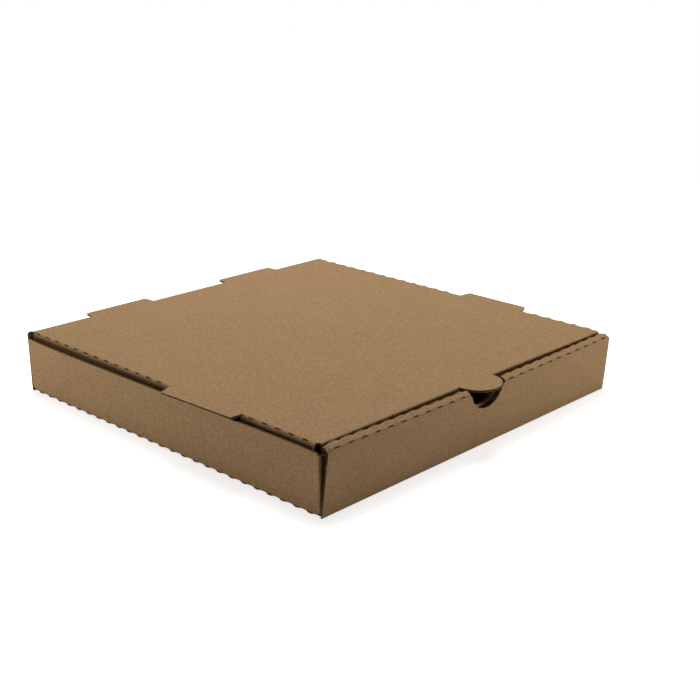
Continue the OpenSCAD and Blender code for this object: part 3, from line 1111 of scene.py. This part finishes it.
def flute_tree():
    tree = bpy.data.node_groups.new("flute_wave", "GeometryNodeTree")
    face = tree.interface
    face.new_socket("Geometry", in_out="INPUT", socket_type="NodeSocketGeometry")
    for label in ("Pitch", "Wave height", "Paper thickness"):
        face.new_socket(label, in_out="INPUT", socket_type="NodeSocketFloat")
    face.new_socket("Paper", in_out="INPUT", socket_type="NodeSocketMaterial")
    face.new_socket("Geometry", in_out="OUTPUT", socket_type="NodeSocketGeometry")
    start = node(tree, "NodeGroupInput", -1200, 0)
    end = node(tree, "NodeGroupOutput", 1000, 0)
    named = "GeometryNodeInputNamedAttribute"
    phase = node(tree, named, -1200, -200, {"Name": "phase"}, data_type="FLOAT").outputs["Attribute"]
    lift = node(tree, named, -1200, -400, {"Name": "lift"}, data_type="FLOAT_VECTOR").outputs["Attribute"]
    paper = start.outputs["Paper thickness"]
    turns = maths(tree, "DIVIDE", -1000, -200, phase, start.outputs["Pitch"])
    wave = maths(tree, "SINE", -600, -200, maths(tree, "MULTIPLY", -800, -200, turns, 2 * math.pi))
    half_wave = maths(tree, "MULTIPLY", -600, -50, start.outputs["Wave height"], 0.5)
    half_paper = maths(tree, "MULTIPLY", -400, -320, paper, 0.5)
    height = maths(tree, "MULTIPLY", -400, -150, wave, half_wave)
    lowered = maths(tree, "SUBTRACT", -200, -150, height, half_paper)
    offset = node(tree, "ShaderNodeVectorMath", 0, -200, operation="SCALE")
    waved = node(tree, "GeometryNodeSetPosition", 150, 0)
    thick = node(tree, "GeometryNodeExtrudeMesh", 350, -100, {"Individual": False}, mode="FACES")
    turned = node(tree, "GeometryNodeFlipFaces", 350, 100)
    joined = node(tree, "GeometryNodeJoinGeometry", 520, 0)
    closed = node(tree, "GeometryNodeMergeByDistance", 660, 0, {"Distance": FLUTE_MERGE})
    real = node(tree, "GeometryNodeRealizeInstances", 780, 0)
    painted = node(tree, "GeometryNodeSetMaterial", 880, 0)
    for output, entry in (
        (lift, offset.inputs[0]),
        (lowered, offset.inputs["Scale"]),
        (start.outputs["Geometry"], waved.inputs["Geometry"]),
        (offset.outputs["Vector"], waved.inputs["Offset"]),
        (waved.outputs["Geometry"], thick.inputs["Mesh"]),
        (lift, thick.inputs["Offset"]),
        (paper, thick.inputs["Offset Scale"]),
        (waved.outputs["Geometry"], turned.inputs["Mesh"]),
        (turned.outputs["Mesh"], joined.inputs["Geometry"]),
        (thick.outputs["Mesh"], joined.inputs["Geometry"]),
        (joined.outputs["Geometry"], closed.inputs["Geometry"]),
        (closed.outputs["Geometry"], real.inputs["Geometry"]),
        (real.outputs["Geometry"], painted.inputs["Geometry"]),
        (start.outputs["Paper"], painted.inputs["Material"]),
        (painted.outputs["Geometry"], end.inputs["Geometry"]),
    ):
        tree.links.new(output, entry)
    return tree


# The waved paper takes the dark fluting material, painted with the shade of the hollow flutes.
flute_wave = flute_tree()
wave_height = (BOARD - 2 * LINER - FLUTE_PAPER) * MM


def build_flutes(name, sheet, joined, body):
    maker = bpy.data.objects.new(name + "_strips", flute_strips(sheet, joined))
    bpy.context.scene.collection.objects.link(maker)
    modifier = maker.modifiers.new("flute_wave", "NODES")
    modifier.node_group = flute_wave
    values = {
        "Pitch": FLUTE_PITCH,
        "Wave height": wave_height,
        "Paper thickness": FLUTE_PAPER * MM,
        "Paper": fluting_painted_shade,
    }
    for item in flute_wave.interface.items_tree:
        if item.in_out == "INPUT" and item.name in values:
            modifier[item.identifier] = values[item.name]
    evaluated = maker.evaluated_get(bpy.context.evaluated_depsgraph_get())
    mesh = bpy.data.meshes.new_from_object(evaluated)
    mesh.name = name
    maker.modifiers.remove(modifier)
    bpy.data.objects.remove(maker)
    check = bmesh.new()
    check.from_mesh(mesh)
    bmesh.ops.recalc_face_normals(check, faces=check.faces)
    check.to_mesh(mesh)
    check.free()
    flutes = bpy.data.objects.new(name, mesh)
    bpy.context.scene.collection.objects.link(flutes)
    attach(flutes, body)


build_flutes("tray_flutes", tray_sheet, at_tray_hinge, "tray")
build_flutes("lid_flutes", lid_sheet, at_lid_hinge, "lid")

# Floor, light and camera
# A white table that keeps the box's soft shadow, a large lamp overhead with weaker ones beyond the left
# and right corners, and a camera at the photograph's place.

FLOOR_R = 0.95
FLOOR_Z = -0.00005
FLOOR_LIT = (0.8, 0.8, 0.8, 1)
FLOOR_SEEN = (0.9, 0.9, 0.9, 1)
FLOOR_GLOW = 0.7
floor_mesh = bpy.data.meshes.new("floor")
floor_points = [(u, v, FLOOR_Z) for u, v in arc((0, 0), FLOOR_R, 0, 360)[:-1]]
floor_mesh.from_pydata(floor_points, [], [tuple(range(len(floor_points)))])
floor = bpy.data.objects.new("floor", floor_mesh)
bpy.context.scene.collection.objects.link(floor)
floor_paint = bpy.data.materials.new("white_table")
floor_paint.use_nodes = True
floor_tree = floor_paint.node_tree
floor_shader = floor_tree.nodes["Principled BSDF"]
floor_shader.inputs["Roughness"].default_value = 0.9
floor_shader.inputs["Emission Color"].default_value = (1, 1, 1, 1)


def background_rays(tree):
    rays = node(tree, "ShaderNodeLightPath", -1100, 0).outputs
    mirrored_rays = maths(tree, "MAXIMUM", -900, 0, rays["Is Glossy Ray"], rays["Is Transmission Ray"])
    return maths(tree, "MAXIMUM", -700, 0, rays["Is Camera Ray"], mirrored_rays)


floor_seen = background_rays(floor_tree)
floor_tone = colour_mix(floor_tree, -300, 100, floor_seen, FLOOR_LIT, FLOOR_SEEN)
floor_tree.links.new(floor_tone, floor_shader.inputs["Base Color"])
floor_glow = maths(floor_tree, "MULTIPLY", -300, -200, floor_seen, FLOOR_GLOW)
floor_tree.links.new(floor_glow, floor_shader.inputs["Emission Strength"])
floor_mesh.materials.append(floor_paint)

world = bpy.data.worlds.new("studio")
world.use_nodes = True
bpy.context.scene.world = world
sky = world.node_tree.nodes["Background"]
level = node(world.node_tree, "ShaderNodeMapRange", -150, 0, {"To Min": 0.07, "To Max": 1.0})
world.node_tree.links.new(background_rays(world.node_tree), level.inputs["Value"])
world.node_tree.links.new(level.outputs["Result"], sky.inputs["Strength"])
sky.inputs["Color"].default_value = (1, 1, 1, 1)


def soft_lamp(name, place, aim, width, height, power):
    lamp = bpy.data.lights.new(name, "AREA")
    lamp.shape = "RECTANGLE"
    lamp.size = width
    lamp.size_y = height
    lamp.energy = power
    holder = bpy.data.objects.new(name, lamp)
    holder.location = place
    direction = Vector(aim) - Vector(place)
    holder.rotation_euler = direction.to_track_quat("-Z", "Y").to_euler()
    holder.visible_camera = False
    bpy.context.scene.collection.objects.link(holder)


soft_lamp("overhead", (0.36, 0.4, 1.3), (0, 0, 0), width=0.9, height=0.9, power=18.1)
soft_lamp("left_card", (-0.68, 0.6, 0.1), (-0.15, 0.13, 0.02), width=0.5, height=0.16, power=3.0)
soft_lamp("right_card", (0.6, -0.68, 0.1), (0.13, -0.15, 0.02), width=0.5, height=0.16, power=2.8)

AZIMUTH = math.radians(47.24)
ELEVATION = math.radians(19.11)
ROLL = math.radians(0.82)
CAMERA_AT = (-0.6269, -0.6097, 0.3346)
SENSOR_W = 36
FOCAL_PIXELS = 1231.4
PHOTO_PIXELS = 700
forward = Vector((
    math.sin(AZIMUTH) * math.cos(ELEVATION),
    math.cos(AZIMUTH) * math.cos(ELEVATION),
    -math.sin(ELEVATION),
))
level_right = Vector((math.cos(AZIMUTH), -math.sin(AZIMUTH), 0))
level_up = level_right.cross(forward)
right = level_right * math.cos(ROLL) + level_up * math.sin(ROLL)
up = right.cross(forward)
view = bpy.data.cameras.new("photo_view")
view.sensor_width = SENSOR_W
view.lens = SENSOR_W * FOCAL_PIXELS / PHOTO_PIXELS
view.clip_start = 0.05
photo_view = bpy.data.objects.new("photo_view", view)
turn = Matrix((right, up, -forward)).transposed().to_4x4()
photo_view.matrix_world = Matrix.Translation(CAMERA_AT) @ turn
bpy.context.scene.collection.objects.link(photo_view)
bpy.context.scene.camera = photo_view
bpy.context.scene.view_settings.view_transform = "Standard"
